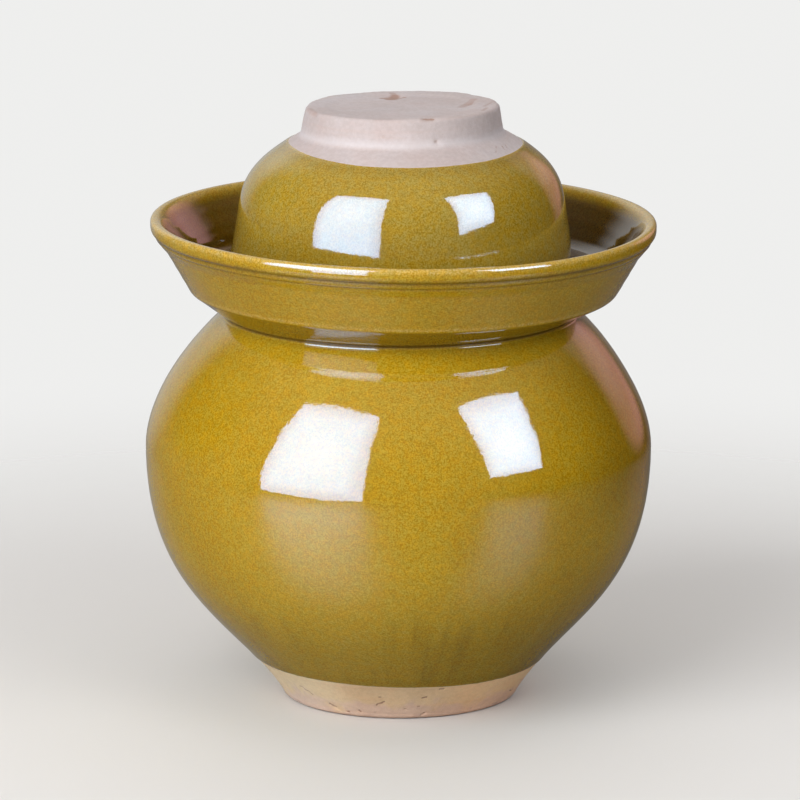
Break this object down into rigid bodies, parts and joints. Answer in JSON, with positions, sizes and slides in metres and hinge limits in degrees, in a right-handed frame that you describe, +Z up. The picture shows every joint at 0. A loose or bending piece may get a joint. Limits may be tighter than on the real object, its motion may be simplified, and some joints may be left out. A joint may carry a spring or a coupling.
{
  "type": "ceramic fermenting crock",
  "caption": "Glazed stoneware pickling crock with a water-channel neck, an inverted-bowl airlock lid, an inner lid and half-moon weights inside.",
  "frame": {"origin": "centre of the foot, on the table the crock stands on", "axes": "+Z up along the jar's axis; the weights' straight sides face each other across the YZ plane; -Y is the front"},
  "size_m": [0.226, 0.226, 0.2687],
  "materials": {
    "amber_glaze": "glossy transparent amber glaze, bare clay foot",
    "amber_glaze_lid": "glossy transparent amber glaze, bare clay foot ring",
    "inner_lid_glaze": "glossy amber glaze, bare clay underside",
    "bare_clay": "unglazed fired stoneware"
  },
  "bodies": {
    "crock": {"crock_body": "amber_glaze"},
    "outer_lid": {"outer_lid": "amber_glaze_lid"},
    "inner_lid": {"inner_lid": "inner_lid_glaze"},
    "weight_left": {"weight_left": "bare_clay"},
    "weight_right": {"weight_right": "bare_clay"}
  },
  "joints": [
    {"name": "outer_lid_lift", "type": "slide", "parent": "crock", "child": "outer_lid", "axis": [0, 0, 1], "range_m": [0, 0.2]},
    {"name": "inner_lid_lift", "type": "slide", "parent": "crock", "child": "inner_lid", "axis": [0, 0, 1], "range_m": [0, 0.1]},
    {"name": "weight_left_lift", "type": "slide", "parent": "crock", "child": "weight_left", "axis": [0, 0, 1], "range_m": [0, 0.15]},
    {"name": "weight_right_lift", "type": "slide", "parent": "crock", "child": "weight_right", "axis": [0, 0, 1], "range_m": [0, 0.15]}
  ],
  "couplings": [
    {"joint": "inner_lid_lift", "follows": "outer_lid_lift", "ratio": 0.5}
  ]
}
